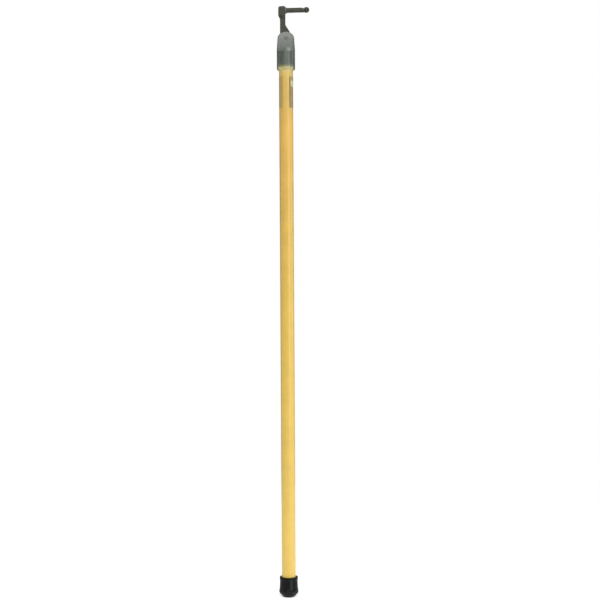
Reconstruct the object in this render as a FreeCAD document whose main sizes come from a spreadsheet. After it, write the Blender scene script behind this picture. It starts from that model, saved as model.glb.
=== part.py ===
import FreeCAD, Part
import math
import os
from types import SimpleNamespace

import Sketcher

# Switch-operating hook stick: a one-piece glass-epoxy pole with a moulded head, a riveted bronze hook and a
# rubber butt cap. Millimetres. +Z runs up the pole's axis from the foot of the butt cap, the prong points
# along +X, and the head's two flats face -Y and +Y.

SHEET = "Dimensions"
TINY = 1e-9

# alias, value, meaning
DIMENSIONS = (
    ("pole_diameter", 31.75, "outside of the pole, 1-1/4 inch"),
    ("pole_wall", 3.175, "wall of the pole, 1/8 inch"),
    ("pole_length", 1219.0, "length of the pole, 4 foot"),
    ("cap_floor", 6.0, "rubber under the pole's end"),
    ("cap_height", 45.0, "whole butt cap"),
    ("cap_lip_diameter", 41.3, "bead round the cap's mouth"),
    ("cap_lip_height", 40.0, "where the bead has its full size"),
    ("cap_neck_diameter", 40.0, "cap at its narrowest"),
    ("cap_neck_height", 36.0, "narrowest level, under the bead"),
    ("cap_waist_diameter", 41.4, "cap just above its flare"),
    ("cap_waist_height", 20.0, "where the flare begins"),
    ("cap_flare_diameter", 43.9, "cap at its widest"),
    ("cap_flare_height", 12.0, "widest level of the cap"),
    ("cap_chamfer_height", 8.5, "top of the foot's chamfer"),
    ("cap_chamfer_inset", 1.0, "chamfer's top edge inside the flare"),
    ("cap_foot_diameter", 26.0, "flat that the stick stands on"),
    ("cap_lip_round", 1.2, "rounding of the bead"),
    ("cap_neck_round", 4.0, "hollow curve under the bead"),
    ("cap_waist_round", 20.0, "hollow curve into the flare"),
    ("cap_foot_round", 2.0, "rounding round the foot's flat"),
    ("cap_flare_round", 2.5, "rounding of the flare"),
    ("butt_plug_length", 25.0, "plug in the butt end"),
    ("top_plug_length", 40.0, "plug in the top end"),
    ("plug_chamfer", 1.5, "lead-in on each plug"),
    ("bond_gap", 0.25, "epoxy between socket and pole"),
    ("bond_end", 0.5, "epoxy over the pole's end"),
    ("ferrule_overlap", 32.0, "depth of the pole in the socket"),
    ("ferrule_diameter", 41.4, "ferrule over the socket"),
    ("ferrule_length", 86.3, "whole ferrule"),
    ("ferrule_straight", 47.0, "height of the untapered stretch"),
    ("ferrule_crown_diameter", 36.0, "where the taper would meet the top"),
    ("ferrule_dome_round", 16.0, "rounding of the domed top"),
    ("ferrule_mouth_round", 2.5, "rounding of the socket's mouth"),
    ("flat_width", 22.8, "across the two flats"),
    ("flat_ledge_height", 41.0, "ledge under the flats"),
    ("ledge_round", 3.0, "inside corner between flat and ledge"),
    ("tang_left", 12.6, "tang and stem to the left of the axis"),
    ("tang_right", 8.9, "tang to the right of the axis"),
    ("arm_thickness", 10.0, "tang, gusset and stem"),
    ("arm_round", 1.5, "broken edges of the casting"),
    ("tang_foot", 45.0, "foot of the tang"),
    ("gusset_foot", 87.0, "where the gusset leaves the tang"),
    ("gusset_head", 102.6, "where the gusset would meet the stem"),
    ("gusset_round", 14.0, "hollow curve from gusset to stem"),
    ("stem_right", 1.1, "stem's right face, left of the axis"),
    ("stem_top", 115.3, "where the stem begins to widen"),
    ("boss_foot", 123.1, "where the boss has its full size"),
    ("boss_top", 144.2, "push face on top of the boss"),
    ("boss_left", 16.4, "boss to the left of the axis"),
    ("boss_depth", 14.0, "boss from front to back"),
    ("heel_round", 5.0, "boss's upper left corner, the heel"),
    ("prong_height", 135.4, "prong's axis"),
    ("prong_diameter", 10.9, "prong"),
    ("prong_shank_diameter", 8.0, "prong's screwed shank"),
    ("prong_shank_depth", 10.7, "shank inside the boss"),
    ("prong_edge", 0.6, "broken edge of the prong's shoulder"),
    ("ball_diameter", 13.0, "ball tip"),
    ("ball_reach", 47.1, "ball's centre from the pole's axis"),
    ("notch_start", 34.9, "where the ring notch begins"),
    ("notch_end", 42.0, "where the ring notch is deepest"),
    ("notch_depth", 2.5, "depth of the ring notch"),
    ("washer_diameter", 14.0, "lock washer"),
    ("washer_thickness", 3.0, "lock washer"),
    ("washer_slit", 1.2, "split in the lock washer"),
    ("tang_rivet_diameter", 6.35, "tang rivet"),
    ("tang_rivet_head", 8.4, "tang rivet's peened head"),
    ("tang_rivet_height", 70.0, "tang rivet's axis"),
    ("tang_rivet_aside", 2.0, "tang rivet, right of the axis"),
    ("tang_rivet_proud", 0.7, "peened head above the flat"),
    ("tang_rivet_peen", 0.63, "rounding of the peened head"),
    ("pole_rivet_diameter", 5.0, "rivets through the pole"),
    ("pole_rivet_head", 8.0, "their sunk heads"),
    ("pole_rivet_reach", 20.5, "half of their length"),
    ("pole_rivet_height", 9.0, "lower rivet's axis"),
    ("pole_rivet_spacing", 14.0, "between the two rivets"),
    ("rivet_sink", 1.6, "depth of each countersink"),
    ("label_film", 0.2, "thickness of the label"),
    ("label_drop", 17.0, "label's top edge below the ferrule"),
    ("label_length", 70.0, "label along the pole"),
    ("label_wrap_angle", 303.5, "how far the label goes round"),
    ("label_start_angle", -59.5, "label's right edge, from +X"),
)


class Length:
    """A size with its value and the sheet expression that it is bound to."""

    def __init__(self, value, text):
        self.value = value
        self.text = text

    def _join(self, other, sign, value):
        return Length(value, f"({self.text} {sign} {as_length(other).text})")

    def __add__(self, other):
        return self._join(other, "+", self.value + as_length(other).value)

    def __sub__(self, other):
        return self._join(other, "-", self.value - as_length(other).value)

    def __mul__(self, other):
        return self._join(other, "*", self.value * as_length(other).value)

    def __truediv__(self, other):
        return self._join(other, "/", self.value / as_length(other).value)

    def __neg__(self):
        return Length(-self.value, f"(-{self.text})")


def as_length(number):
    return number if isinstance(number, Length) else Length(float(number), str(float(number)))


ZERO = as_length(0)
CLEAR = as_length(2)  # how far a cut runs out past the surface that it opens


# ---------------------------------------------------------------- document and sheet

def fill_sheet(doc):
    sheet = doc.addObject("Spreadsheet::Sheet", SHEET)
    for row, (alias, value, meaning) in enumerate(DIMENSIONS, 1):
        sheet.set(f"A{row}", meaning)
        sheet.set(f"B{row}", str(value))
        sheet.setAlias(f"B{row}", alias)
    return sheet


doc = FreeCAD.newDocument("hook_stick")
sheet = fill_sheet(doc)
size = SimpleNamespace(**{a: Length(v, f"{SHEET}.{a}") for a, v, _ in DIMENSIONS})

# Levels on the pole's axis that several pieces share.
pole_foot = size.cap_floor
pole_head = pole_foot + size.pole_length
ferrule_foot = pole_head - size.ferrule_overlap
ferrule_head = ferrule_foot + size.ferrule_length
bore_radius = size.pole_diameter / 2 - size.pole_wall
socket_radius = size.pole_diameter / 2 + size.bond_gap
pole_rivet_level = ferrule_foot + size.pole_rivet_height
tang_rivet_level = ferrule_foot + size.tang_rivet_height


# ---------------------------------------------------------------- helpers

def new_body(name):
    body = doc.addObject("PartDesign::Body", name)
    body.Label = name
    return body


def origin_feature(body, role):
    return next(f for f in body.Origin.OriginFeatures if f.Role == role)


def bind(target, path, length):
    target.setExpression(path, as_length(length).text)


def place(target, x=ZERO, y=ZERO, z=ZERO, turn=None):
    """Put a sub-part at a place that is bound to the sheet, after an optional turn."""
    target.Placement = FreeCAD.Placement(
        FreeCAD.Vector(as_length(x).value, as_length(y).value, as_length(z).value),
        turn or FreeCAD.Rotation(),
    )
    for letter, length in (("x", x), ("y", y), ("z", z)):
        if as_length(length).value:
            bind(target, f"Placement.Base.{letter}", length)


def new_sketch(body, name, plane, right=ZERO, up=ZERO, out=ZERO):
    """A sketch on one of the body's own planes, shifted in the plane and along its normal."""
    sketch = body.newObject("Sketcher::SketchObject", name)
    sketch.AttachmentSupport = [(origin_feature(body, plane), "")]
    sketch.MapMode = "FlatFace"
    for letter, length in (("x", right), ("y", up), ("z", out)):
        if as_length(length).value:
            bind(sketch, f"AttachmentOffset.Base.{letter}", length)
    return sketch


def hold(sketch, curve, point, direction, length):
    """Fix one point of a curve at its signed distance from the sketch's origin."""
    length = as_length(length)
    if abs(length.value) < TINY:
        axis = {"X": -2, "Y": -1}[direction]
        sketch.addConstraint(Sketcher.Constraint("PointOnObject", curve, point, axis))
        return
    forward = length.value > 0
    ends = (-1, 1, curve, point) if forward else (curve, point, -1, 1)
    rule = Sketcher.Constraint("Distance" + direction, *ends, abs(length.value))
    number = sketch.addConstraint(rule)
    bind(sketch, f"Constraints[{number}]", length if forward else -length)


def add_loop(sketch, corners):
    """A closed loop of straight sides whose corners are all bound to the sheet."""
    first = len(sketch.Geometry)
    places = [FreeCAD.Vector(as_length(x).value, as_length(y).value, 0) for x, y in corners]
    for start, end in zip(places, places[1:] + places[:1]):
        sketch.addGeometry(Part.LineSegment(start, end), False)
    for number, (x, y) in enumerate(corners):
        side = first + number
        following = first + (number + 1) % len(corners)
        sketch.addConstraint(Sketcher.Constraint("Coincident", side, 2, following, 1))
        hold(sketch, side, 1, "X", x)
        hold(sketch, side, 1, "Y", y)


def add_rectangle(sketch, left, right, bottom, top):
    add_loop(sketch, [(left, bottom), (right, bottom), (right, top), (left, top)])


def add_rounded_rectangle(sketch, left, right, bottom, top, corner):
    """A rectangle whose four corners are arcs of one radius."""
    sides = (
        ((left + corner, bottom), (right - corner, bottom)),
        ((right, bottom + corner), (right, top - corner)),
        ((right - corner, top), (left + corner, top)),
        ((left, top - corner), (left, bottom + corner)),
    )
    middles = (
        (right - corner, bottom + corner),
        (right - corner, top - corner),
        (left + corner, top - corner),
        (left + corner, bottom + corner),
    )
    quarter = math.pi / 2
    upwards = FreeCAD.Vector(0, 0, 1)
    for number, ((start, end), (x, y)) in enumerate(zip(sides, middles)):
        line = Part.LineSegment(
            FreeCAD.Vector(start[0].value, start[1].value, 0),
            FreeCAD.Vector(end[0].value, end[1].value, 0),
        )
        sketch.addGeometry(line, False)
        circle = Part.Circle(FreeCAD.Vector(x.value, y.value, 0), upwards, corner.value)
        arc = Part.ArcOfCircle(circle, (number - 1) * quarter, number * quarter)
        sketch.addGeometry(arc, False)
    for number, (start, end) in enumerate(sides):
        line, arc, following = 2 * number, 2 * number + 1, (2 * number + 2) % 8
        for point, spot in ((1, start), (2, end)):
            hold(sketch, line, point, "X", spot[0])
            hold(sketch, line, point, "Y", spot[1])
        sketch.addConstraint(Sketcher.Constraint("Coincident", line, 2, arc, 1))
        sketch.addConstraint(Sketcher.Constraint("Coincident", arc, 2, following, 1))
        hold(sketch, arc, 3, "X", middles[number][0])


def add_circle(sketch, radius, x=ZERO, y=ZERO):
    middle = FreeCAD.Vector(as_length(x).value, as_length(y).value, 0)
    circle = sketch.addGeometry(
        Part.Circle(middle, FreeCAD.Vector(0, 0, 1), as_length(radius).value), False
    )
    hold(sketch, circle, 3, "X", x)
    hold(sketch, circle, 3, "Y", y)
    rule = Sketcher.Constraint("Radius", circle, as_length(radius).value)
    bind(sketch, f"Constraints[{sketch.addConstraint(rule)}]", radius)


def loop_sketch(body, name, plane, corners, **shift):
    sketch = new_sketch(body, name, plane, **shift)
    add_loop(sketch, corners)
    return sketch


def pad(body, name, sketch, length, both_ways=False):
    feature = body.newObject("PartDesign::Pad", name)
    feature.Profile = sketch
    bind(feature, "Length", length)
    feature.Midplane = both_ways
    doc.recompute()


def pocket(body, name, sketch, length, forward=False, both_ways=False):
    """A Pocket against its sketch's normal, or along it, or both ways."""
    before = body.Shape.Volume
    feature = body.newObject("PartDesign::Pocket", name)
    feature.Profile = sketch
    feature.Reversed = forward
    feature.Midplane = both_ways
    bind(feature, "Length", length)
    doc.recompute()
    if feature.Shape.Volume >= before:
        raise RuntimeError(f"{name} cuts nothing")


def spin(body, kind, name, sketch, axis):
    """A Revolution or a Groove, all the way round one of the sketch's own axes."""
    feature = body.newObject("PartDesign::" + kind, name)
    feature.Profile = sketch
    feature.ReferenceAxis = (sketch, [axis])
    feature.Angle = 360
    doc.recompute()
    return feature


def repeat_up(body, name, feature, sketch, spacing):
    """One more copy of a feature, spacing higher up."""
    pattern = body.newObject("PartDesign::LinearPattern", name)
    pattern.Originals = [feature]
    pattern.Direction = (sketch, ["V_Axis"])
    bind(pattern, "Length", spacing)
    pattern.Occurrences = 2
    body.Tip = pattern
    doc.recompute()


def dress_edges(body, kind, name, test):
    """A Fillet or Chamfer, still without its size, on every edge of the tip that passes the test."""
    tip = body.Tip
    chosen = [f"Edge{n}" for n, edge in enumerate(tip.Shape.Edges, 1) if test(edge)]
    if not chosen:
        raise RuntimeError(f"{name} found no edge")
    feature = body.newObject("PartDesign::" + kind, name)
    feature.Base = (tip, chosen)
    return feature


def round_edges(body, name, radius, test):
    feature = dress_edges(body, "Fillet", name, test)
    bind(feature, "Radius", radius)
    doc.recompute()


def near(value, length, slack=0.01):
    return abs(value - as_length(length).value) < slack


def is_circle(edge):
    return isinstance(edge.Curve, Part.Circle)


def ring_at(radius, level):
    """A test for a circular edge of one radius round the pole's axis at one level."""

    def test(edge):
        curve = edge.Curve
        return (
            is_circle(edge)
            and near(curve.Radius, radius)
            and near(curve.Center.x, 0)
            and near(curve.Center.y, 0)
            and near(curve.Center.z, level)
        )

    return test


def along(edge, axis):
    """Is this a straight edge parallel to X, Y or Z?"""
    if not isinstance(edge.Curve, Part.Line):
        return False
    return abs(abs(getattr(edge.Curve.Direction, axis)) - 1) < TINY


def rivet_half(half_length, shank_radius, head_radius, beyond=None):
    """Half of a countersunk rivet's section above its axis; beyond runs its ends further out."""
    sink = size.rivet_sink
    end = half_length + beyond if beyond else half_length
    section = [
        (-half_length, head_radius),
        (-half_length + sink, shank_radius),
        (half_length - sink, shank_radius),
        (half_length, head_radius),
    ]
    if beyond:
        section = [(-end, head_radius)] + section + [(end, head_radius)]
    return [(-end, 0)] + section + [(end, 0)]


def pole_rivet_sketch(body, name, level, beyond=None):
    corners = rivet_half(
        size.pole_rivet_reach, size.pole_rivet_diameter / 2, size.pole_rivet_head / 2, beyond
    )
    return loop_sketch(body, name, "XZ_Plane", corners, up=level)


def bore_for_pole_rivets(body, level):
    """Cut the two cross holes of the pole rivets, with room for their heads to go in."""
    sketch = pole_rivet_sketch(body, "rivet_bore_sketch", level, CLEAR)
    groove = spin(body, "Groove", "rivet_bore", sketch, "H_Axis")
    repeat_up(body, "rivet_bores", groove, sketch, size.pole_rivet_spacing)


def tang_rivet_sketch(body, name, beyond=None):
    corners = rivet_half(
        size.flat_width / 2, size.tang_rivet_diameter / 2, size.tang_rivet_head / 2, beyond
    )
    return loop_sketch(
        body, name, "YZ_Plane", corners, up=tang_rivet_level, out=size.tang_rivet_aside
    )


# ---------------------------------------------------------------- pole

def pole_tube():
    body = new_body("pole_tube")
    sketch = new_sketch(body, "ring", "XY_Plane")
    add_circle(sketch, size.pole_diameter / 2)
    add_circle(sketch, bore_radius)
    pad(body, "tube", sketch, size.pole_length)
    bore_for_pole_rivets(body, pole_rivet_level - pole_foot)
    place(body, z=pole_foot)
    return body


def plug(name, length):
    """A solid plug that fills the pole's bore, with a lead-in at both ends."""
    body = new_body(name)
    sketch = new_sketch(body, "disc", "XY_Plane")
    add_circle(sketch, bore_radius)
    pad(body, "cylinder", sketch, length)
    lead_in = dress_edges(body, "Chamfer", "lead_in", is_circle)
    bind(lead_in, "Size", size.plug_chamfer)
    doc.recompute()
    return body


def top_plug():
    foot = pole_head - size.top_plug_length
    body = plug("top_plug", size.top_plug_length)
    bore_for_pole_rivets(body, pole_rivet_level - foot)
    place(body, z=foot)
    return body


def butt_plug():
    body = plug("butt_plug", size.butt_plug_length)
    place(body, z=pole_foot)
    return body


def foam_core():
    core = doc.addObject("Part::Cylinder", "foam_core")
    core.Label = "foam_core"
    bind(core, "Radius", bore_radius)
    bind(core, "Height", size.pole_length - size.butt_plug_length - size.top_plug_length)
    place(core, z=pole_foot + size.butt_plug_length)
    return core


def label_wrap():
    """A thin film that goes most of the way round the pole and is open at the front."""
    film = {}
    for name, extra in (("label_outside", size.label_film), ("label_inside", ZERO)):
        sheath = doc.addObject("Part::Cylinder", name)
        bind(sheath, "Radius", size.pole_diameter / 2 + extra)
        bind(sheath, "Height", size.label_length)
        bind(sheath, "Angle", size.label_wrap_angle)
        film[name] = sheath
    wrap = doc.addObject("Part::Cut", "label_wrap")
    wrap.Label = "label_wrap"
    wrap.Base = film["label_outside"]
    wrap.Tool = film["label_inside"]
    turn = FreeCAD.Rotation(FreeCAD.Vector(0, 0, 1), size.label_start_angle.value)
    place(wrap, z=ferrule_foot - size.label_drop - size.label_length, turn=turn)
    bind(wrap, "Placement.Rotation.Angle", size.label_start_angle)
    return wrap


# ---------------------------------------------------------------- butt cap

def butt_cap():
    body = new_body("butt_cap")
    inside = size.pole_diameter / 2
    corners = [
        (0, 0),
        (size.cap_foot_diameter / 2, 0),
        (size.cap_flare_diameter / 2 - size.cap_chamfer_inset, size.cap_chamfer_height),
        (size.cap_flare_diameter / 2, size.cap_flare_height),
        (size.cap_waist_diameter / 2, size.cap_waist_height),
        (size.cap_neck_diameter / 2, size.cap_neck_height),
        (size.cap_lip_diameter / 2, size.cap_lip_height),
        (size.cap_lip_diameter / 2, size.cap_height),
        (inside, size.cap_height),
        (inside, size.cap_floor),
        (0, size.cap_floor),
    ]
    spin(body, "Revolution", "cup", loop_sketch(body, "section", "XZ_Plane", corners), "V_Axis")
    rounds = (
        ("mouth_round", size.cap_lip_round, size.cap_lip_diameter, size.cap_height),
        ("bead_round", size.cap_lip_round, size.cap_lip_diameter, size.cap_lip_height),
        ("neck_round", size.cap_neck_round, size.cap_neck_diameter, size.cap_neck_height),
        ("waist_round", size.cap_waist_round, size.cap_waist_diameter, size.cap_waist_height),
        ("flare_round", size.cap_flare_round, size.cap_flare_diameter, size.cap_flare_height),
        ("foot_round", size.cap_foot_round, size.cap_foot_diameter, ZERO),
    )
    for name, radius, diameter, level in rounds:
        round_edges(body, name, radius, ring_at(diameter / 2, level))
    return body


# ---------------------------------------------------------------- head ferrule

def ferrule_outside(body):
    """Socket, straight skirt, tapered neck and domed top, all round the pole's axis."""
    foot = ferrule_foot
    roof = pole_head + size.bond_end
    corners = [
        (socket_radius, foot),
        (size.ferrule_diameter / 2, foot),
        (size.ferrule_diameter / 2, foot + size.ferrule_straight),
        (size.ferrule_crown_diameter / 2, ferrule_head),
        (0, ferrule_head),
        (0, roof),
        (socket_radius, roof),
    ]
    spin(body, "Revolution", "shell", loop_sketch(body, "section", "XZ_Plane", corners), "V_Axis")
    round_edges(
        body, "dome", size.ferrule_dome_round,
        ring_at(size.ferrule_crown_diameter / 2, ferrule_head),
    )
    round_edges(
        body, "mouth_round", size.ferrule_mouth_round,
        ring_at(size.ferrule_diameter / 2, ferrule_foot),
    )


def ferrule_flats(body):
    """Cut a flat in front and one behind, each down to a ledge."""
    ledge = ferrule_foot + size.flat_ledge_height
    outside = size.ferrule_diameter
    sketch = new_sketch(body, "flats_sketch", "XY_Plane", out=ledge)
    add_rectangle(sketch, -outside, outside, size.flat_width / 2, outside)
    add_rectangle(sketch, -outside, outside, -outside, -size.flat_width / 2)
    pocket(body, "flats", sketch, size.ferrule_length, forward=True)

    def inside_corner(edge):
        middle = edge.CenterOfMass
        return (
            along(edge, "x")
            and near(abs(middle.y), size.flat_width / 2)
            and near(middle.z, ledge)
        )

    round_edges(body, "ledge_round", size.ledge_round, inside_corner)


def ferrule_mortise(body):
    """The pocket in the domed top that the tang fills."""
    sketch = new_sketch(body, "mortise_sketch", "XY_Plane", out=ferrule_foot + size.tang_foot)
    half = size.arm_thickness / 2
    add_rectangle(sketch, -size.tang_left, size.tang_right, -half, half)
    pocket(body, "mortise", sketch, size.ferrule_length, forward=True)

    def upright_corner(edge):
        middle = edge.CenterOfMass
        on_left = near(middle.x, -size.tang_left)
        on_right = near(middle.x, size.tang_right)
        return along(edge, "z") and near(abs(middle.y), half) and (on_left or on_right)

    round_edges(body, "mortise_round", size.arm_round, upright_corner)


def head_ferrule():
    body = new_body("head_ferrule")
    ferrule_outside(body)
    ferrule_flats(body)
    ferrule_mortise(body)
    bore_for_pole_rivets(body, pole_rivet_level)
    sketch = tang_rivet_sketch(body, "tang_rivet_bore_sketch", CLEAR)
    spin(body, "Groove", "tang_rivet_bore", sketch, "H_Axis")
    return body


def ferrule_bond():
    """The epoxy that fills the socket round the pole and over its end."""
    body = new_body("ferrule_bond")
    pole_radius = size.pole_diameter / 2
    corners = [
        (pole_radius, ferrule_foot),
        (socket_radius, ferrule_foot),
        (socket_radius, pole_head + size.bond_end),
        (0, pole_head + size.bond_end),
        (0, pole_head),
        (pole_radius, pole_head),
    ]
    spin(body, "Revolution", "film", loop_sketch(body, "section", "XZ_Plane", corners), "V_Axis")
    bore_for_pole_rivets(body, pole_rivet_level)
    return body


def pole_rivets():
    """Two countersunk rivets across the ferrule, the pole and the top plug."""
    body = new_body("pole_rivets")
    body.AllowCompound = True
    sketch = pole_rivet_sketch(body, "rivet_sketch", pole_rivet_level)
    rivet = spin(body, "Revolution", "rivet", sketch, "H_Axis")
    repeat_up(body, "rivet_pair", rivet, sketch, size.pole_rivet_spacing)
    return body


def tang_rivet():
    """One rivet from flat to flat through the tang, its ends peened into low domes."""
    body = new_body("tang_rivet")
    sketch = tang_rivet_sketch(body, "rivet_sketch", size.tang_rivet_proud)
    spin(body, "Revolution", "rivet", sketch, "H_Axis")
    head_end = size.flat_width / 2 + size.tang_rivet_proud

    def head_rim(edge):
        return is_circle(edge) and near(abs(edge.Curve.Center.y), head_end)

    round_edges(body, "peened_round", size.tang_rivet_peen, head_rim)
    return body


# ---------------------------------------------------------------- hook

def arm_blank(body):
    """Tang, gusset and stem: one outline seen from the front, cast to one thickness."""
    foot = ferrule_foot
    corners = [
        (-size.tang_left, foot + size.tang_foot),
        (size.tang_right, foot + size.tang_foot),
        (size.tang_right, foot + size.gusset_foot),
        (-size.stem_right, foot + size.gusset_head),
        (-size.stem_right, foot + size.stem_top),
        (-size.tang_left, foot + size.stem_top),
    ]
    sketch = loop_sketch(body, "arm_sketch", "XZ_Plane", corners)
    pad(body, "arm", sketch, size.arm_thickness, both_ways=True)

    def hollow_corner(edge):
        middle = edge.CenterOfMass
        at_stem = near(middle.x, -size.stem_right)
        return along(edge, "y") and at_stem and near(middle.z, foot + size.gusset_head)

    round_edges(body, "gusset_round", size.gusset_round, hollow_corner)

    def outline(edge):
        """Every edge of the front and back faces, apart from the stem's open top."""
        middle = edge.CenterOfMass
        on_face = near(abs(middle.y), size.arm_thickness / 2)
        return on_face and not near(middle.z, foot + size.stem_top)

    round_edges(body, "arm_round", size.arm_round, outline)


def boss_block(body):
    """The block that holds the prong: a heel over its left side, every edge broken but its foot's."""
    foot = ferrule_foot + size.boss_foot
    top = ferrule_foot + size.boss_top
    sketch = new_sketch(body, "boss_sketch", "XZ_Plane")
    add_rectangle(sketch, -size.boss_left, -size.stem_right, foot, top)
    pad(body, "boss", sketch, size.boss_depth, both_ways=True)

    def top_edge(x):
        def test(edge):
            middle = edge.CenterOfMass
            return along(edge, "y") and near(middle.x, x) and near(middle.z, top)

        return test

    round_edges(body, "heel_round", size.heel_round, top_edge(-size.boss_left))
    prong_side = top_edge(-size.stem_right)

    def outline(edge):
        """The edges of the front and back faces, apart from those on the foot."""
        middle = edge.CenterOfMass
        on_face = near(abs(middle.y), size.boss_depth / 2)
        return on_face and not near(middle.z, foot)

    round_edges(body, "boss_round", size.arm_round, lambda edge: outline(edge) or prong_side(edge))


def neck_section(body, name, left, depth, level):
    sketch = new_sketch(body, name, "XY_Plane", out=level)
    add_rounded_rectangle(
        sketch, -left, -size.stem_right, -depth / 2, depth / 2, size.arm_round
    )
    return sketch


def neck(body):
    """The stem widens to the left, front and back into the boss."""
    foot = ferrule_foot
    stem = neck_section(
        body, "stem_section", size.tang_left, size.arm_thickness, foot + size.stem_top
    )
    block = neck_section(
        body, "boss_section", size.boss_left, size.boss_depth, foot + size.boss_foot
    )
    loft = body.newObject("PartDesign::AdditiveLoft", "neck")
    loft.Profile = stem
    loft.Sections = [block]
    loft.Ruled = True
    doc.recompute()


def hook_arm():
    body = new_body("hook_arm")
    body.AllowCompound = True
    arm_blank(body)
    boss_block(body)
    neck(body)
    bore = new_sketch(
        body, "shank_bore_sketch", "YZ_Plane",
        up=ferrule_foot + size.prong_height, out=-size.stem_right,
    )
    add_circle(bore, size.prong_shank_diameter / 2)
    pocket(body, "shank_bore", bore, size.prong_shank_depth)
    rivet = tang_rivet_sketch(body, "tang_rivet_bore_sketch")
    spin(body, "Groove", "tang_rivet_bore", rivet, "H_Axis")
    return body


def prong_turn():
    """Turns a piece built up its own Z so that it points along +X, its -X side upwards."""
    return FreeCAD.Rotation(FreeCAD.Vector(0, 1, 0), 90)


def hook_prong():
    """Screwed shank, plain prong, sloping ring notch and ball tip, built up its own Z."""
    body = new_body("hook_prong")
    radius = size.prong_diameter / 2
    shoulder = size.washer_thickness
    shank_end = -size.prong_shank_depth
    to_face = size.stem_right
    corners = [
        (0, shank_end),
        (size.prong_shank_diameter / 2, shank_end),
        (size.prong_shank_diameter / 2, shoulder),
        (radius, shoulder),
        (radius, size.ball_reach + to_face),
        (0, size.ball_reach + to_face),
    ]
    spin(body, "Revolution", "bar", loop_sketch(body, "bar_section", "XZ_Plane", corners), "V_Axis")
    round_edges(body, "shoulder_round", size.prong_edge, ring_at(radius, shoulder))

    notch = new_sketch(body, "notch_sketch", "XZ_Plane")
    start = size.notch_start + to_face
    add_loop(
        notch,
        [
            (-radius, start),
            (-radius * 2, start),
            (-radius * 2, size.ball_reach + to_face + CLEAR),
            (-radius + size.notch_depth, size.ball_reach + to_face + CLEAR),
            (-radius + size.notch_depth, size.notch_end + to_face),
        ],
    )
    pocket(body, "ring_notch", notch, size.prong_diameter * 2, both_ways=True)

    ball = body.newObject("PartDesign::AdditiveSphere", "ball")
    bind(ball, "Radius", size.ball_diameter / 2)
    ball.AttachmentSupport = [(origin_feature(body, "XY_Plane"), "")]
    ball.MapMode = "FlatFace"
    bind(ball, "AttachmentOffset.Base.z", size.ball_reach + to_face)
    doc.recompute()
    place(body, x=-to_face, z=ferrule_foot + size.prong_height, turn=prong_turn())
    return body


def prong_washer():
    """Split lock washer between the boss and the prong's shoulder."""
    body = new_body("prong_washer")
    sketch = new_sketch(body, "ring", "XY_Plane")
    add_circle(sketch, size.washer_diameter / 2)
    add_circle(sketch, size.prong_shank_diameter / 2)
    pad(body, "washer", sketch, size.washer_thickness)
    slit = new_sketch(body, "slit_sketch", "XY_Plane")
    half = size.washer_slit / 2
    within_hole = size.prong_shank_diameter / 4
    add_rectangle(slit, within_hole, size.washer_diameter, -half, half)
    pocket(body, "slit", slit, size.washer_thickness, forward=True)
    place(
        body, x=-size.stem_right, z=ferrule_foot + size.prong_height, turn=prong_turn()
    )
    return body


# ---------------------------------------------------------------- build, check, write

BUILDERS = (
    pole_tube,
    foam_core,
    top_plug,
    butt_plug,
    label_wrap,
    butt_cap,
    head_ferrule,
    ferrule_bond,
    pole_rivets,
    tang_rivet,
    hook_arm,
    hook_prong,
    prong_washer,
)


def check(sub_parts):
    """Stop if any feature failed or any sub-part has no sound solid."""
    broken = [o.Name for o in doc.Objects if {"Invalid", "Error"} & set(o.State)]
    if broken:
        raise RuntimeError("these objects failed: " + ", ".join(broken))
    for sub_part in sub_parts:
        shape = sub_part.Shape
        if shape.isNull() or not shape.isValid() or not shape.Solids:
            raise RuntimeError(f"{sub_part.Label} has no sound solid")


def write(sub_parts):
    os.makedirs("parts", exist_ok=True)
    for sub_part in sub_parts:
        sub_part.Shape.exportStep(os.path.join("parts", sub_part.Label + ".step"))
        box = sub_part.Shape.BoundBox
        volume = sub_part.Shape.Volume / 1000
        print(
            f"{sub_part.Label:14s} solids {len(sub_part.Shape.Solids)}  {volume:8.2f} cm3  "
            f"x {box.XMin:7.2f} {box.XMax:7.2f}  y {box.YMin:7.2f} {box.YMax:7.2f}  "
            f"z {box.ZMin:8.2f} {box.ZMax:8.2f}"
        )


doc.recompute()
made = [builder() for builder in BUILDERS]
doc.recompute()
check(made)
write(made)
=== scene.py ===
import math

import bmesh
import bpy
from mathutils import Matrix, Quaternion, Vector


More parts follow.
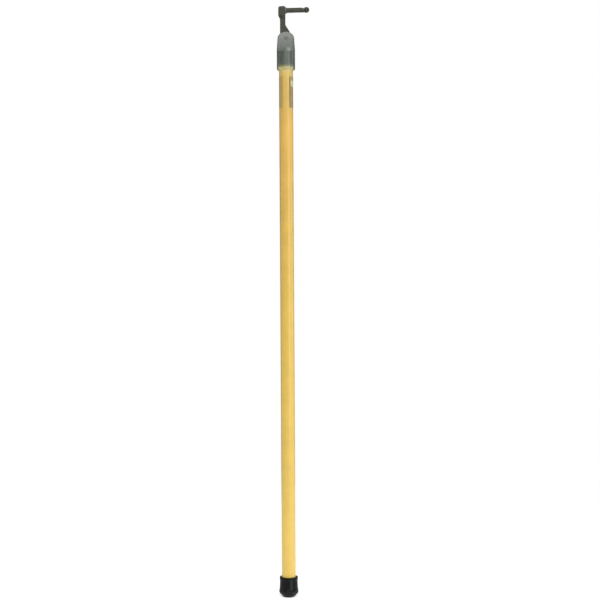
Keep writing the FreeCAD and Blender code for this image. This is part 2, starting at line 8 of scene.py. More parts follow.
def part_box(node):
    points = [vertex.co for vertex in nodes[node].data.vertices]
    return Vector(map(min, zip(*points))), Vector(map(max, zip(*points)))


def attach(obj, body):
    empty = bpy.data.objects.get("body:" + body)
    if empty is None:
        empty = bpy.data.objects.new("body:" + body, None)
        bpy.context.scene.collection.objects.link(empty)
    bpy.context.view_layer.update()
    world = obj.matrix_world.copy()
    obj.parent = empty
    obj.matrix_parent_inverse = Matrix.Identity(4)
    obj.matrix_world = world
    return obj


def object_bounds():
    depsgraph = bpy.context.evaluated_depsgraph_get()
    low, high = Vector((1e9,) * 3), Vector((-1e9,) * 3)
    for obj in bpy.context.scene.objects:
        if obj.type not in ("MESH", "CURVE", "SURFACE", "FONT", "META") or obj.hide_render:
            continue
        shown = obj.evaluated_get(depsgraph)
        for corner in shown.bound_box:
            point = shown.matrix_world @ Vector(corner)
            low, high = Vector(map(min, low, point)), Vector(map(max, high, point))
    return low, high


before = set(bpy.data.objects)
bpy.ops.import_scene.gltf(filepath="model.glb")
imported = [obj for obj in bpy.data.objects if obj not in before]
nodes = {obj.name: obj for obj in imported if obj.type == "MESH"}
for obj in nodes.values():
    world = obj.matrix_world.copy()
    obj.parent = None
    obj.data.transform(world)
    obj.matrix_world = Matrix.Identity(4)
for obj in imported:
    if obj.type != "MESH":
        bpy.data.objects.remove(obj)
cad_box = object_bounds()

# Looks, stage, light and camera of the hook stick. Metres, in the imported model's own frame: +Z runs up the
# pole from the foot of the butt cap, the prong points along +X and the head's flats face -Y and +Y.

MM = 0.001

# ---------------------------------------------------------------- camera

CAMERA_AZIMUTH = 5.0  # degrees
CAMERA_DISTANCE = 2.510
CAMERA_HEIGHT = 0.6716
CAMERA_ASIDE = 0.0289
CAMERA_ROLL = 0.32  # degrees
CAMERA_LENS = 66.4  # millimetres, as Blender takes lens and sensor
SENSOR_WIDTH = 36.0
CLIP_NEAR = 0.05
CLIP_FAR = 200.0


def direction(azimuth, elevation):
    """The way from the object to a camera or light; azimuth 0 looks along +Y and 90 along -X."""
    a, e = math.radians(azimuth), math.radians(elevation)
    return Vector((math.sin(a) * math.cos(e), -math.cos(a) * math.cos(e), math.sin(e)))


def add_camera():
    """The camera, level and at mid height, rolled a little against the object's upright."""
    data = bpy.data.cameras.new("camera")
    data.lens = CAMERA_LENS
    data.sensor_width = SENSOR_WIDTH
    data.clip_start = CLIP_NEAR
    data.clip_end = CLIP_FAR
    camera = bpy.data.objects.new("camera", data)
    bpy.context.scene.collection.objects.link(camera)
    back = direction(CAMERA_AZIMUTH, 0)
    right = Vector((0, 0, 1)).cross(back)
    camera.location = Vector((0, 0, CAMERA_HEIGHT)) + back * CAMERA_DISTANCE + right * CAMERA_ASIDE
    camera.rotation_mode = "QUATERNION"
    roll = Quaternion((0, 0, 1), math.radians(-CAMERA_ROLL))
    camera.rotation_quaternion = (-back).to_track_quat("-Z", "Y") @ roll
    bpy.context.scene.camera = camera


add_camera()

# ---------------------------------------------------------------- node materials

EDGE_SAMPLES = 6
EDGE_TURN = (0.995, 0.90)  # cosine between the true and the rounded normal, from no edge to a full edge


class Look:
    """A node material built from short calls; every call returns a socket to go on with."""

    def __init__(self, name):
        self.material = bpy.data.materials.new(name)
        self.material.use_nodes = True
        self.tree = self.material.node_tree
        self.tree.nodes.clear()
        output = self.tree.nodes.new("ShaderNodeOutputMaterial")
        self.shader = self.tree.nodes.new("ShaderNodeBsdfPrincipled")
        self.tree.links.new(self.shader.outputs["BSDF"], output.inputs["Surface"])
        self.place = self.add("ShaderNodeTexCoord").outputs["Object"]

    def add(self, kind, inputs=(), **settings):
        """One node; an input is a value to set or a socket to link."""
        made = self.tree.nodes.new(kind)
        for name, value in settings.items():
            setattr(made, name, value)
        for key, value in dict(inputs).items():
            if isinstance(value, bpy.types.NodeSocket):
                self.tree.links.new(value, made.inputs[key])
            else:
                made.inputs[key].default_value = value
        return made

    def surface(self, **values):
        """Set or link the shader's own sockets, named with _ for a space."""
        for name, value in values.items():
            socket = self.shader.inputs[name.replace("_", " ")]
            if isinstance(value, bpy.types.NodeSocket):
                self.tree.links.new(value, socket)
            else:
                socket.default_value = value

    def stretched(self, x, y, z):
        """The place on the object, scaled by x, y and z."""
        scaled = self.add("ShaderNodeVectorMath", {0: self.place, 1: (x, y, z)}, operation="MULTIPLY")
        return scaled.outputs["Vector"]

    def part(self, letter):
        """One coordinate of the place on the object."""
        return self.add("ShaderNodeSeparateXYZ", {"Vector": self.place}).outputs[letter]

    def noise(self, scale, detail=3.0, roughness=0.55, where=None, distortion=0.0):
        """Cloudy noise about 0.5, with scale features to the metre."""
        made = self.add("ShaderNodeTexNoise", {
            "Vector": where or self.place, "Scale": scale, "Detail": detail,
            "Roughness": roughness, "Distortion": distortion,
        })
        return made.outputs["Fac"]

    def cells(self, scale):
        """The distance to the nearest of scattered points, in steps of 1 / scale metres."""
        made = self.add("ShaderNodeTexVoronoi", {"Vector": self.place, "Scale": scale})
        return made.outputs["Distance"]

    def math(self, operation, first, second=0.0, clamp=False):
        """One arithmetic step; clamp holds the result between 0 and 1."""
        made = self.add("ShaderNodeMath", {0: first, 1: second}, operation=operation, use_clamp=clamp)
        return made.outputs["Value"]

    def span(self, value, start, end, low=0.0, high=1.0, smooth=True):
        """value's rise from start to end, given out as low to high and held outside."""
        made = self.add("ShaderNodeMapRange", {
            "Value": value, "From Min": start, "From Max": end, "To Min": low, "To Max": high,
        }, interpolation_type="SMOOTHSTEP" if smooth else "LINEAR")
        return made.outputs["Result"]

    def band(self, value, start, end, blur=0.3 * MM):
        """1 where value is between start and end, and 0 outside."""
        risen = self.span(value, start, start + blur)
        return self.math("MULTIPLY", risen, self.span(value, end + blur, end))

    def mix(self, share, first, second):
        """Two colours mixed; share 0 is the first."""
        made = self.add("ShaderNodeMix", data_type="RGBA", clamp_factor=True)
        for slot, value in ((0, share), (6, first), (7, second)):
            if isinstance(value, bpy.types.NodeSocket):
                self.tree.links.new(value, made.inputs[slot])
            elif slot:
                made.inputs[slot].default_value = (*value, 1.0)
            else:
                made.inputs[slot].default_value = value
        return made.outputs[2]

    def shade(self, colour, factor):
        """A colour made lighter or darker by a factor near 1."""
        made = self.add("ShaderNodeVectorMath", {0: colour}, operation="SCALE")
        self.tree.links.new(factor, made.inputs["Scale"])
        return made.outputs["Vector"]

    def bump(self, height, depth, normal=None, strength=1.0):
        """Relief of the given depth in metres."""
        inputs = {"Height": height, "Distance": depth, "Strength": strength}
        if normal:
            inputs["Normal"] = normal
        return self.add("ShaderNodeBump", inputs).outputs["Normal"]

    def edges(self, radius):
        """1 along the outside and inside edges of the piece, within the radius, and 0 elsewhere."""
        rounded = self.add("ShaderNodeBevel", {"Radius": radius}, samples=EDGE_SAMPLES).outputs["Normal"]
        flat = self.add("ShaderNodeNewGeometry").outputs["Normal"]
        turn = self.add("ShaderNodeVectorMath", {0: rounded, 1: flat}, operation="DOT_PRODUCT")
        return self.span(turn.outputs["Value"], *EDGE_TURN)


def grey(value):
    """The colour with this value in all three channels."""
    return (value, value, value)


# ---------------------------------------------------------------- the materials

POLE_LOW = (0.805, 0.545, 0.100)
POLE_HIGH = (0.80, 0.492, 0.096)
POLE_STREAK = (0.90, 0.64, 0.180)
POLE_TOP_SHADE = (0.665, 0.446, 0.106)
POLE_DULLED = (0.64, 0.52, 0.19)
POLE_GRIME = (0.38, 0.27, 0.11)
POLE_RADIUS = 15.9 * MM
TONE_CHANGE = (0.60, 1.05)  # heights in metres between which POLE_LOW gives way to POLE_HIGH, a painted shade that darkens the pole upwards
TOP_SHADE_ZONE = (125 * MM, 55 * MM)  # painted shade, below the ferrule
DULLED_ZONE = (19 * MM, 1 * MM)  # below the ferrule
WINDING_PITCH = 9 * MM


def glass_epoxy():
    """Glass fibre in yellow resin under a clear coat: lengthwise rovings, faint winding, hand marks, and
    painted shade that darkens the pole towards its top.
    """
    look = Look("glass_epoxy")
    height = look.part("Z")
    # Painted shade: the colour darkens from POLE_LOW to POLE_HIGH up the pole.
    colour = look.mix(look.span(height, *TONE_CHANGE, smooth=False), POLE_LOW, POLE_HIGH)
    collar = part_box("head_ferrule")[0].z
    # Painted shade: the pole darkens over the last stretch below the ferrule.
    top_shade = look.span(height, *(collar - drop for drop in TOP_SHADE_ZONE))
    colour = look.mix(top_shade, colour, POLE_TOP_SHADE)
    dulled = look.span(height, *(collar - drop for drop in DULLED_ZONE), 0.0, 0.80)
    colour = look.mix(dulled, colour, POLE_DULLED)
    rovings = look.noise(1.0, 4.0, 0.6, look.stretched(1100, 1100, 9))
    colour = look.mix(look.span(rovings, 0.52, 0.72, 0.0, 0.35), colour, POLE_STREAK)
    round_pole = look.math("ARCTAN2", look.part("Y"), look.part("X"))
    along_skin = look.math("MULTIPLY", round_pole, POLE_RADIUS)
    winding = look.math("ADD", along_skin, height)
    band = look.math("SINE", look.math("MULTIPLY", winding, 2 * math.pi / WINDING_PITCH))
    clouds = look.noise(38, 3.0)
    tone = look.math("ADD", look.math("MULTIPLY", band, 0.010), look.span(clouds, 0.3, 0.7, 0.965, 1.035))
    colour = look.shade(colour, tone)
    rubs = look.noise(1.0, 2.0, 0.5, look.stretched(420, 420, 16))
    grime = look.span(rubs, 0.66, 0.80, 0.0, 0.22)
    colour = look.mix(grime, colour, POLE_GRIME)
    relief = look.bump(rovings, 0.03 * MM)
    relief = look.bump(look.noise(2600, 2.0), 0.01 * MM, relief)
    look.surface(
        Base_Color=colour, Roughness=look.span(clouds, 0.3, 0.7, 0.40, 0.52), Normal=relief,
        Coat_Weight=0.45, Coat_Roughness=0.22, Specular_IOR_Level=0.5,
    )
    return look.material


FERRULE_TONE = (0.092, 0.115, 0.089)
FERRULE_SHADE = (0.076, 0.095, 0.073)
# Pale tone for the worn edges, and for the painted highlight on the flats.
FERRULE_WEAR_AND_SHEEN = (0.262, 0.270, 0.252)
LEDGE_SHADE = (0.035, 0.040, 0.032)
LEDGE_HIGHLIGHT = (0.42, 0.44, 0.40)
SMEAR_THIN = (0.20, 0.21, 0.11)
SMEAR_THICK = (0.54, 0.48, 0.21)
LEDGE_HEIGHT = 1234 * MM
LEDGE_LINE = (2.5 * MM, 6 * MM)  # above the ledge
LEDGE_FACE = (-2 * MM, 8 * MM)  # above the ledge
LEDGE_CORNER = (-2.5 * MM, 3.5 * MM)  # above the ledge
HIGHLIGHT_SIDE = (1.5 * MM, 10 * MM)  # along X
SHADED_SIDE = (3 * MM, -2 * MM)  # along X
FLAT_DEPTH = (11.9 * MM, 11.2 * MM)  # from off the flats to on them
FLAT_SHARE = (0.46, 0.92)  # of the ferrule's height, from where the flats begin to near their top
THIN_SMEAR = (13 * MM, 5 * MM)  # above the mouth
THICK_SMEAR = (7 * MM, 1 * MM)  # above the mouth
SMEAR_SIDES = (18.5 * MM, 15.0 * MM)  # from the middle, where the wiped front and back end


def grey_green_moulding():
    """Grained grey-green moulding: parting lines, flats painted paler towards their top as a painted
    highlight, rubbed edges, resin wiped round its mouth.
    """
    low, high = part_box("head_ferrule")
    look = Look("grey_green_moulding")
    height = look.part("Z")
    blotches = look.noise(130, 4.0)
    colour = look.mix(look.span(blotches, 0.35, 0.68), FERRULE_SHADE, FERRULE_TONE)
    length = high.z - low.z
    # Painted highlight: the flats are painted paler, most towards their top, for the light they catch.
    up_the_flat = look.span(height, *(low.z + share * length for share in FLAT_SHARE), smooth=False)
    depth = look.math("ABSOLUTE", look.part("Y"))
    on_the_flat = look.span(depth, *FLAT_DEPTH)
    flat_sheen = look.math("MULTIPLY", up_the_flat, on_the_flat)
    streaks = look.noise(1.0, 3.0, 0.6, look.stretched(260, 260, 70))
    flat_sheen = look.math("MULTIPLY", flat_sheen, look.span(streaks, 0.25, 0.7, 0.55, 1.0))
    colour = look.mix(flat_sheen, colour, FERRULE_WEAR_AND_SHEEN)
    worn = look.math("MULTIPLY", look.edges(0.9 * MM), look.span(look.noise(300), 0.35, 0.6, 0.15, 0.8))
    colour = look.mix(worn, colour, FERRULE_WEAR_AND_SHEEN)
    # Painted highlight and painted shade along the ledge under the flats.
    colour = ledge_painted_light(look, colour, height)
    colour = wiped_resin(look, colour, look.math("SUBTRACT", height, low.z))
    seam = look.span(depth, 0.32 * MM, 0.10 * MM)
    relief = look.bump(look.noise(1500, 3.0), 0.012 * MM)
    relief = look.bump(seam, 0.12 * MM, relief)
    look.surface(
        Base_Color=colour, Roughness=look.span(blotches, 0.3, 0.7, 0.30, 0.37), Normal=relief,
        Specular_IOR_Level=0.85,
    )
    return look.material


def ledge_painted_light(look, colour, height):
    """The ledge under the flats: a painted highlight on one side of the middle, and painted shade in its
    corner on the other.
    """
    across = look.part("X")
    # Painted highlight: a pale line and face along the ledge, on the side the light comes from.
    highlight_side = look.band(across, *HIGHLIGHT_SIDE, 2.5 * MM)
    line = look.band(height, *(LEDGE_HEIGHT + rise for rise in LEDGE_LINE), 1.5 * MM)
    face = look.band(height, *(LEDGE_HEIGHT + rise for rise in LEDGE_FACE), 2 * MM)
    share = look.math("MAXIMUM", look.math("MULTIPLY", line, 0.65), look.math("MULTIPLY", face, 0.30))
    colour = look.mix(look.math("MULTIPLY", share, highlight_side), colour, LEDGE_HIGHLIGHT)
    # Painted shade: a dark line in the ledge's corner on the other side.
    corner = look.band(height, *(LEDGE_HEIGHT + rise for rise in LEDGE_CORNER), 1.5 * MM)
    shaded_side = look.span(across, *SHADED_SIDE, 0.0, 0.45)
    return look.mix(look.math("MULTIPLY", corner, shaded_side), colour, LEDGE_SHADE)


def wiped_resin(look, colour, over_mouth):
    """Resin wiped round the ferrule's mouth, front and back: a thin film that thickens downwards."""
    ragged = look.span(look.noise(150, 4.0), 0.3, 0.7, -1.2 * MM, 1.2 * MM)
    over_smear = look.math("ADD", over_mouth, ragged)
    to_the_side = look.math("ADD", look.math("ABSOLUTE", look.part("X")), ragged)
    wiped = look.span(to_the_side, *SMEAR_SIDES, 0.15, 1.0)
    thin = look.span(over_smear, *THIN_SMEAR, 0.0, 0.9)
    colour = look.mix(look.math("MULTIPLY", thin, wiped), colour, SMEAR_THIN)
    thick = look.span(over_smear, *THICK_SMEAR, 0.0, 0.95)
    return look.mix(look.math("MULTIPLY", thick, wiped), colour, SMEAR_THICK)


BRONZE_DARK = (0.050, 0.049, 0.039)
BRONZE_TONE = (0.076, 0.075, 0.059)
BRONZE_BARE = (0.42, 0.33, 0.19)
BRONZE_GREEN = (0.075, 0.10, 0.080)
TIP_RADIUS = 6.5 * MM
UPPER_SIDE = (2 * MM, 5 * MM)  # above the prong's axis
SLID_STRETCH = (26 * MM, 9 * MM)  # short of the tip's far side
RING_PITCH = 0.45 * MM


def cast_bronze(name, tone, rubbed_share):
    """Tarnished sand-cast bronze: grain, pits, patches of darker tarnish, and bare metal on its edges."""
    look = Look(name)
    patches = look.noise(170, 5.0, 0.6, distortion=0.4)
    colour = look.mix(look.span(patches, 0.38, 0.64), BRONZE_DARK, tone)
    green = look.noise(90, 4.0)
    colour = look.mix(look.span(green, 0.60, 0.78, 0.0, 0.35), colour, BRONZE_GREEN)
    scuffs = look.span(look.noise(420, 4.0, 0.7), 0.42, 0.62, 0.10, 0.85)
    worn = look.math("MULTIPLY", look.edges(0.8 * MM), scuffs)
    worn = look.math("MULTIPLY", worn, rubbed_share)
    colour = look.mix(worn, colour, BRONZE_BARE)
    pits = look.span(look.cells(700), 0.0, 0.18)
    relief = look.bump(look.noise(1200, 4.0, 0.65), 0.08 * MM)
    relief = look.bump(pits, 0.04 * MM, relief)
    polish = look.math("MULTIPLY", worn, 0.16)
    roughness = look.math("SUBTRACT", look.span(patches, 0.3, 0.7, 0.44, 0.60), polish)
    look.surface(Base_Color=colour, Metallic=0.72, Normal=relief, Roughness=roughness)
    return look.material


def turned_prong():
    """The same bronze, turned: fine rings round the prong, and rubbed bare where rings and pulls slide."""
    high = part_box("hook_prong")[1]
    look = Look("turned_bronze")
    patches = look.noise(150, 5.0, 0.6)
    colour = look.mix(look.span(patches, 0.36, 0.66), BRONZE_DARK, BRONZE_TONE)
    along_prong = look.part("X")
    over_axis = look.math("SUBTRACT", look.part("Z"), high.z - TIP_RADIUS)
    upper_side = look.span(over_axis, *UPPER_SIDE)
    outer_end = look.span(along_prong, *(high.x - short for short in SLID_STRETCH))
    slid = look.math("MULTIPLY", upper_side, outer_end)
    drags = look.noise(1.0, 3.0, 0.6, look.stretched(90, 700, 700))
    slid = look.math("MULTIPLY", slid, look.span(drags, 0.3, 0.7))
    colour = look.mix(look.math("MULTIPLY", slid, 0.55), colour, BRONZE_BARE)
    rings = look.math("SINE", look.math("MULTIPLY", along_prong, 2 * math.pi / RING_PITCH))
    relief = look.bump(rings, 0.006 * MM)
    relief = look.bump(look.noise(900, 3.0), 0.02 * MM, relief)
    polish = look.math("MULTIPLY", slid, 0.12)
    roughness = look.math("SUBTRACT", look.span(patches, 0.3, 0.7, 0.38, 0.54), polish)
    look.surface(Base_Color=colour, Metallic=0.75, Normal=relief, Roughness=roughness)
    return look.material


ZINC_PALE = (0.17, 0.17, 0.155)
ZINC_DULL = (0.12, 0.12, 0.110)
RUST = (0.16, 0.075, 0.030)


def plated_steel():
    """Zinc plating that has gone dull, with faint spangle and a little rust at the edges."""
    look = Look("plated_steel")
    spangle = look.cells(500)
    colour = look.mix(look.span(spangle, 0.1, 0.7), ZINC_PALE, ZINC_DULL)
    rust = look.math("MULTIPLY", look.edges(0.3 * MM), look.span(look.noise(650, 4.0), 0.5, 0.7, 0.0, 0.6))
    colour = look.mix(rust, colour, RUST)
    look.surface(
        Base_Color=colour, Metallic=0.7, Roughness=look.span(spangle, 0.1, 0.7, 0.42, 0.56),
        Normal=look.bump(look.noise(1800, 3.0), 0.02 * MM),
    )
    return look.material


RIVET_DARK = (0.11, 0.115, 0.105)
RIVET_TONE = (0.20, 0.205, 0.185)
RIVET_BARE = (0.34, 0.33, 0.29)


def rivet_metal():
    """Peened rivet ends: hammer facets, a dull skin and brighter high spots."""
    look = Look("rivet_metal")
    facets = look.cells(620)
    skin = look.noise(500, 4.0)
    colour = look.mix(look.span(skin, 0.38, 0.66), RIVET_DARK, RIVET_TONE)
    colour = look.mix(look.span(facets, 0.25, 0.0, 0.0, 0.35), colour, RIVET_BARE)
    look.surface(
        Base_Color=colour, Metallic=0.7, Roughness=look.span(skin, 0.3, 0.7, 0.36, 0.55),
        Normal=look.bump(facets, 0.12 * MM),
    )
    return look.material


RUBBER_TONE = (0.0078, 0.0092, 0.0086)
RUBBER_HIGHLIGHT = (0.030, 0.034, 0.032)
RUBBER_DUST = (0.075, 0.078, 0.068)
RUBBER_SCUFF = (0.11, 0.11, 0.098)
FLARE_HEIGHT = 12 * MM
HIGHLIGHT_ACROSS = (4.2 * MM, 9.2 * MM)
HIGHLIGHT_HEIGHTS = (17 * MM, 40 * MM)
HIGHLIGHT_FRONT = (-10 * MM, -14 * MM)  # along Y, so that only the front has the painted highlight


def black_rubber():
    """Moulded rubber: matt grain, dust, grey scuffs on the flare and foot, and one paler upright streak that
    is a painted highlight.
    """
    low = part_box("butt_cap")[0]
    look = Look("black_rubber")
    height = look.part("Z")
    clouds = look.noise(90, 5.0, 0.6)
    colour = look.mix(look.span(clouds, 0.45, 0.75, 0.0, 0.20), RUBBER_TONE, RUBBER_DUST)
    from_flare = look.math("ABSOLUTE", look.math("SUBTRACT", height, FLARE_HEIGHT))
    near_flare = look.span(from_flare, 5 * MM, 1 * MM)
    near_foot = look.span(height, low.z + 3 * MM, low.z)
    worn_band = look.math("MAXIMUM", near_flare, near_foot)
    scratches = look.noise(1.0, 4.0, 0.7, look.stretched(300, 300, 900))
    scuffs = look.math("MULTIPLY", worn_band, look.span(scratches, 0.48, 0.68, 0.0, 0.55))
    colour = look.mix(scuffs, colour, RUBBER_SCUFF)
    # Painted highlight: a paler upright streak on the front, right of the middle, in place of a lamp's
    # reflection.
    cap_highlight = look.band(look.part("X"), *HIGHLIGHT_ACROSS, 2 * MM)
    cap_highlight = look.math("MULTIPLY", cap_highlight, look.span(look.part("Y"), *HIGHLIGHT_FRONT))
    cap_highlight = look.math("MULTIPLY", cap_highlight, look.band(height, *HIGHLIGHT_HEIGHTS, 4 * MM))
    colour = look.mix(look.math("MULTIPLY", cap_highlight, 0.9), colour, RUBBER_HIGHLIGHT)
    relief = look.bump(look.noise(1400, 3.0), 0.02 * MM)
    relief = look.bump(scratches, 0.03 * MM, relief, 0.6)
    look.surface(
        Base_Color=colour, Roughness=look.span(clouds, 0.3, 0.7, 0.34, 0.46), Normal=relief,
        Specular_IOR_Level=0.08,
    )
    return look.material


FILM_TINT = ((0.47, 0.345, 0.105), (0.53, 0.390, 0.125))
FILM_INK = (0.055, 0.040, 0.025)
FILM_DARKER_ENDS = (0.27, 0.20, 0.070)
FILM_PALE_SPOT = (0.85, 0.78, 0.45)
RULE_ROWS = (1.5 * MM, 2.3 * MM)  # from the nearer end of the label
HEADING_ROWS = (4 * MM, 15 * MM)  # below the label's top
PALE_SPOT_ROWS = (7 * MM, 22 * MM)  # below the label's top
PALE_SPOT_COLUMNS = (-10.5 * MM, -3 * MM)  # along Y
OFF_FRONT = (-3 * MM, -2 * MM)  # along Y
RIGHT_END = (16.5 * MM, 13.5 * MM)  # along X
LEFT_END = (-9.2 * MM, -7.4 * MM)  # along X


def printed_film():
    """A blank label: tinted film, a plain dark heading band, ruled lines, ends darker on the front and a
    pale spot.
    """
    low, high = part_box("label_wrap")
    look = Look("printed_film")
    height, across = look.part("Z"), look.part("X")
    fibres = look.noise(1.0, 3.0, 0.6, look.stretched(500, 500, 8))
    colour = look.mix(look.span(fibres, 0.3, 0.7), *FILM_TINT)
    below_top = look.math("SUBTRACT", high.z, height)
    edge = look.math("MINIMUM", below_top, look.math("SUBTRACT", height, low.z))
    rule = look.band(edge, *RULE_ROWS)
    heading = look.band(below_top, *HEADING_ROWS)
    off_the_front = look.span(look.part("Y"), *OFF_FRONT)
    rule = look.math("MULTIPLY", look.math("MULTIPLY", rule, off_the_front), 0.75)
    heading = look.math("MULTIPLY", heading, off_the_front)
    worn_ink = look.span(look.noise(420, 4.0, 0.7), 0.30, 0.46)
    ink = look.math("MULTIPLY", look.math("MAXIMUM", rule, heading), worn_ink)
    colour = look.mix(ink, colour, FILM_INK)
    # The film is darker towards its ends on the front.
    right_end = look.span(across, *RIGHT_END)
    left_end = look.span(across, *LEFT_END)
    ends = look.math("SUBTRACT", look.math("MINIMUM", right_end, left_end), off_the_front, clamp=True)
    patchy = look.span(look.noise(110, 3.0), 0.3, 0.6, 0.4, 0.9)
    colour = look.mix(look.math("MULTIPLY", ends, patchy), colour, FILM_DARKER_ENDS)
    # A pale spot near the film's right edge on the front.
    ragged = look.span(look.noise(230, 4.0, 0.7), 0.3, 0.7, -2.5 * MM, 2.5 * MM)
    spot_rows = look.band(look.math("ADD", below_top, ragged), *PALE_SPOT_ROWS, 1 * MM)
    spot_columns = look.band(look.math("ADD", look.part("Y"), ragged), *PALE_SPOT_COLUMNS, 1 * MM)
    pale_spot = look.math("MULTIPLY", spot_rows, spot_columns)
    pale_spot = look.math("MULTIPLY", pale_spot, look.span(across, 0.0, 2 * MM, 0.0, 0.75))
    colour = look.mix(pale_spot, colour, FILM_PALE_SPOT)
    look.surface(
        Base_Color=colour, Roughness=look.span(fibres, 0.3, 0.7, 0.28, 0.40), Coat_Weight=0.2,
        Coat_Roughness=0.2, Normal=look.bump(look.noise(240, 2.0), 0.05 * MM),
    )
    return look.material


RESIN_TONES = ((0.46, 0.40, 0.17), (0.58, 0.51, 0.23))
FOAM_TONES = ((0.62, 0.52, 0.30), (0.80, 0.72, 0.50))
LAMINATE_TONES = ((0.20, 0.115, 0.045), (0.31, 0.19, 0.080))
PLY_THICKNESS = 0.6 * MM


def cured_epoxy():
    """Hard yellowish resin, clouded and full of fine bubbles."""
    look = Look("cured_epoxy")
    clouds = look.noise(260, 4.0)
    bubbles = look.cells(1600)
    colour = look.mix(look.span(clouds, 0.3, 0.7), *RESIN_TONES)
    look.surface(
        Base_Color=colour, Roughness=look.span(bubbles, 0.1, 0.5, 0.22, 0.40), Coat_Weight=0.3,
        Normal=look.bump(bubbles, 0.03 * MM),
    )
    return look.material


def rigid_foam():
    """Pale closed-cell foam."""
    look = Look("rigid_foam")
    bubbles = look.cells(1300)
    colour = look.mix(look.span(bubbles, 0.1, 0.6), *FOAM_TONES)
    look.surface(Base_Color=colour, Roughness=0.9, Normal=look.bump(bubbles, 0.2 * MM))
    return look.material


def laminate():
    """Wound glass laminate, with its plies as rings round the axis."""
    look = Look("laminate")
    distance = look.add("ShaderNodeVectorMath", {0: look.stretched(1, 1, 0)}, operation="LENGTH")
    plies = look.math("SINE", look.math("MULTIPLY", distance.outputs["Value"], 2 * math.pi / PLY_THICKNESS))
    colour = look.mix(look.span(plies, -1, 1), *LAMINATE_TONES)
    look.surface(
        Base_Color=colour, Roughness=look.span(look.noise(300), 0.3, 0.7, 0.45, 0.6),
        Normal=look.bump(plies, 0.03 * MM),
    )
    return look.material


# ---------------------------------------------------------------- the CAD pieces take their finish

plugs = laminate()
rivets = rivet_metal()
resin = cured_epoxy()
FINISHES = {
    "pole_tube": glass_epoxy(),
    "foam_core": rigid_foam(),
    "top_plug": plugs,
    "butt_plug": plugs,
    "label_wrap": printed_film(),
    "butt_cap": black_rubber(),
    "head_ferrule": grey_green_moulding(),
    "ferrule_bond": resin,
    "pole_rivets": rivets,
    "tang_rivet": rivets,
    "hook_arm": cast_bronze("cast_bronze", BRONZE_TONE, 0.6),
    "hook_prong": turned_prong(),
    "prong_washer": plated_steel(),
}
for name, finish in FINISHES.items():
    piece = nodes[name]
    piece.data.materials.clear()
    piece.data.materials.append(finish)

# ---------------------------------------------------------------- resin squeezed out of the ferrule

BEAD_STEPS = 192
BEAD_CURVE = 7
BEAD_DROP = 2.3 * MM
BEAD_SWELL = 2.4 * MM
BEAD_SUNK = 0.05 * MM
# share of the size, waves in one turn, offset in radians
BEAD_WAVES = ((0.20, 3, 0.6), (0.12, 7, 0.0), (0.06, 17, 1.9))


def bead_outline(turn, mouth):
    """The bead's section at one turn round the pole: a hollow fillet of uneven size."""
    swells = (share * math.sin(waves * turn + offset) for share, waves, offset in BEAD_WAVES)
    size = sum(swells, start=1)
    points = []
    for step in range(BEAD_CURVE):
        bend = math.radians(90) * step / (BEAD_CURVE - 1)
        radius = POLE_RADIUS + BEAD_SWELL * size * (1 - math.sin(bend))
        points.append((radius, mouth - BEAD_DROP * size * (1 - math.cos(bend))))
    foot = points[-1][1]
    inside = POLE_RADIUS - BEAD_SUNK
    points += [(inside, foot), (inside, mouth + BEAD_SUNK), (points[0][0], mouth + BEAD_SUNK)]
    return points


def resin_bead():
    """A closed ring of resin in the corner between the pole and the ferrule's mouth."""
    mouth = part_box("head_ferrule")[0].z
    work = bmesh.new()
    rings = []
    for step in range(BEAD_STEPS):
        turn = 2 * math.pi * step / BEAD_STEPS
        rings.append([
            work.verts.new((radius * math.cos(turn), radius * math.sin(turn), height))
            for radius, height in bead_outline(turn, mouth)
        ])
    for here, ahead in zip(rings, rings[1:] + rings[:1]):
        for corner in range(len(here)):
            work.faces.new((here[corner - 1], here[corner], ahead[corner], ahead[corner - 1]))
    bmesh.ops.recalc_face_normals(work, faces=work.faces)
    mesh = bpy.data.meshes.new("resin_bead")
    work.to_mesh(mesh)
    work.free()
    mesh.materials.append(resin)
    for face in mesh.polygons:
        face.use_smooth = True
    bead = bpy.data.objects.new("resin_bead", mesh)
    bpy.context.scene.collection.objects.link(bead)
    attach(bead, "root")


resin_bead()

# ---------------------------------------------------------------- stage and light

FLOOR_RADIUS = 1.5
FLOOR_SIDES = 96
FLOOR_GLOW = 0.60
WORLD_LIGHT = 0.16


def floor():
    """A wide pale disc at the foot of the cap."""
    height = cad_box[0].z
    rim = []
    for number in range(FLOOR_SIDES):
        turn = 2 * math.pi * number / FLOOR_SIDES
        rim.append((FLOOR_RADIUS * math.cos(turn), FLOOR_RADIUS * math.sin(turn), height))
    mesh = bpy.data.meshes.new("floor")
    mesh.from_pydata(rim, [], [tuple(range(FLOOR_SIDES))])
    disc = bpy.data.objects.new("floor", mesh)
    bpy.context.scene.collection.objects.link(disc)
    look = Look("pale_floor")
    colour = look.mix(look.span(look.noise(6, 4.0), 0.3, 0.7), grey(0.86), grey(0.90))
    look.surface(
        Base_Color=colour, Roughness=0.85, Emission_Color=(1, 1, 1, 1),
        Emission_Strength=FLOOR_GLOW,
    )
    mesh.materials.append(look.material)


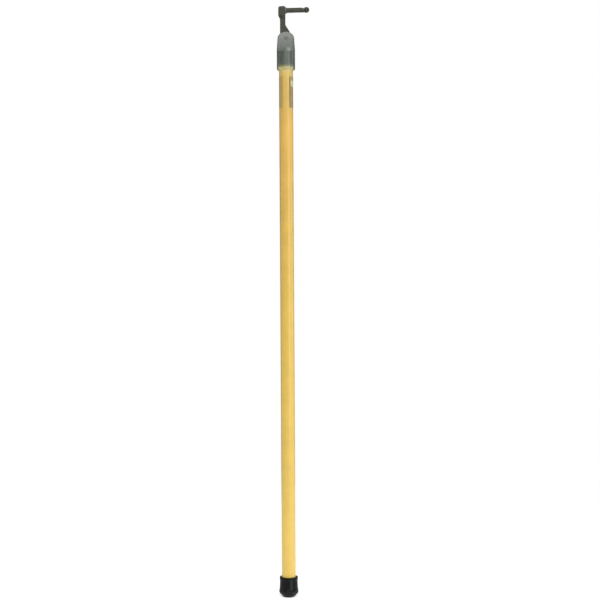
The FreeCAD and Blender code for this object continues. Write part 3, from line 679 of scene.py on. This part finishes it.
def surroundings():
    """White all round for the camera, and softer for the light that falls on the object."""
    world = bpy.data.worlds.new("studio")
    bpy.context.scene.world = world
    world.use_nodes = True
    tree = world.node_tree
    tree.nodes.clear()
    output = tree.nodes.new("ShaderNodeOutputWorld")
    seen, light, choice = (
        tree.nodes.new(kind)
        for kind in ("ShaderNodeBackground", "ShaderNodeBackground", "ShaderNodeMixShader")
    )
    seen.inputs["Strength"].default_value = 1.0
    light.inputs["Strength"].default_value = WORLD_LIGHT
    for node in (seen, light):
        node.inputs["Color"].default_value = (1, 1, 1, 1)
    path = tree.nodes.new("ShaderNodeLightPath")
    tree.links.new(path.outputs["Is Camera Ray"], choice.inputs["Fac"])
    tree.links.new(light.outputs["Background"], choice.inputs[1])
    tree.links.new(seen.outputs["Background"], choice.inputs[2])
    tree.links.new(choice.outputs["Shader"], output.inputs["Surface"])


# name, azimuth, elevation, distance, aimed-at height, width, height, watts, spread in degrees
LIGHTS = (
    ("front", 3, 40, 3.2, 0.88, 1.6, 1.6, 47, 180),
    ("under_head", 3, -35, 1.2, 1.32, 0.3, 0.3, 0.05, 20),
    ("key", 43, 4, 2.6, 0.70, 0.18, 2.0, 20, 180),
    ("right_panel", 98, 0, 2.2, 0.65, 0.55, 2.0, 10, 180),
    ("left_panel", -88, 0, 2.2, 0.65, 0.55, 2.0, 7, 180),
    ("overhead", 20, 78, 2.4, 1.00, 2.0, 2.0, 10, 180),
    ("back", 190, 30, 3.2, 0.70, 2.0, 1.5, 14, 180),
)


def lamps():
    """The area lights, each turned towards its aimed-at height on the pole's axis."""
    for name, azimuth, elevation, distance, aim, width, tall, watts, spread in LIGHTS:
        data = bpy.data.lights.new(name, "AREA")
        data.shape = "RECTANGLE"
        data.size, data.size_y = width, tall
        data.energy = watts
        data.spread = math.radians(spread)
        lamp = bpy.data.objects.new(name, data)
        bpy.context.scene.collection.objects.link(lamp)
        way = direction(azimuth, elevation)
        lamp.location = Vector((0, 0, aim)) + way * distance
        lamp.rotation_mode = "QUATERNION"
        lamp.rotation_quaternion = (-way).to_track_quat("-Z", "Y")
        lamp.visible_camera = False


floor()
surroundings()
lamps()
bpy.context.scene.view_settings.view_transform = "Standard"
